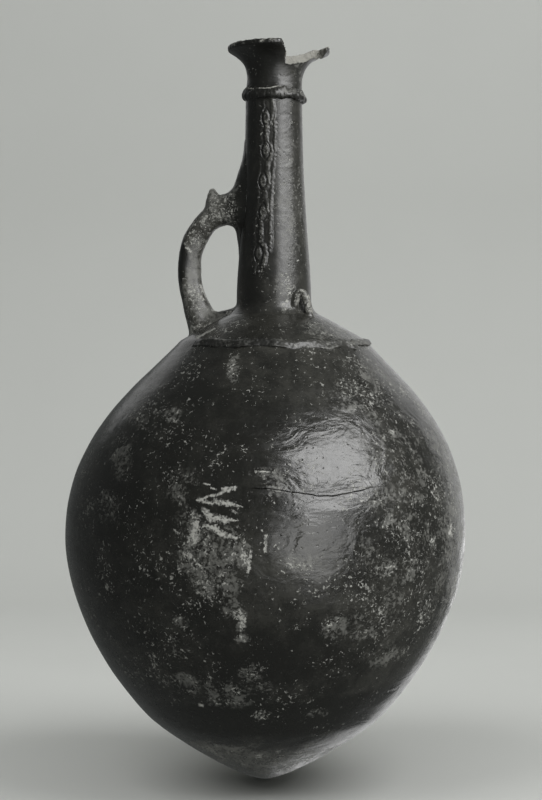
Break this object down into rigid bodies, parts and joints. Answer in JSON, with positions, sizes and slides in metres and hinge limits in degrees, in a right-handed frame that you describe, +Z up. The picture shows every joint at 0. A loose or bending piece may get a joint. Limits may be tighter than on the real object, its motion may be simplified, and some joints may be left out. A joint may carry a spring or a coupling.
{
  "type": "ceramic jug",
  "caption": "Tall hand-built jug with a globular body on a pointed base, a long tapering neck, a mouth cut away to a spout, a spurred loop handle, a lug and neck relief.",
  "frame": {"origin": "on the body's upright axis, in the plane of the circle on which a ring stand holds the pointed base", "axes": "+Z up along the body's axis, -Y to the front with the relief strip, +X towards the spout"},
  "size_m": [0.3268, 0.3268, 0.6007],
  "materials": {
    "burnished_slip": "near-black slip, burnished to a soft gloss, with worn and pale specks",
    "rubbed_slip": "the same slip rubbed thin where it stands proud"
  },
  "bodies": {
    "root": {"lower_body": "burnished_slip", "upper_body": "burnished_slip", "neck": "burnished_slip", "mouth": "burnished_slip", "neck_ring": "rubbed_slip", "shoulder_band": "rubbed_slip", "handle": "burnished_slip", "handle_spur": "burnished_slip", "neck_foot_lug": "burnished_slip", "left_rib": "rubbed_slip", "right_rib": "rubbed_slip", "winding_rib": "rubbed_slip", "pellet_1": "rubbed_slip", "pellet_2": "rubbed_slip", "pellet_3": "rubbed_slip", "pellet_4": "rubbed_slip", "pellet_5": "rubbed_slip"}
  },
  "joints": []
}
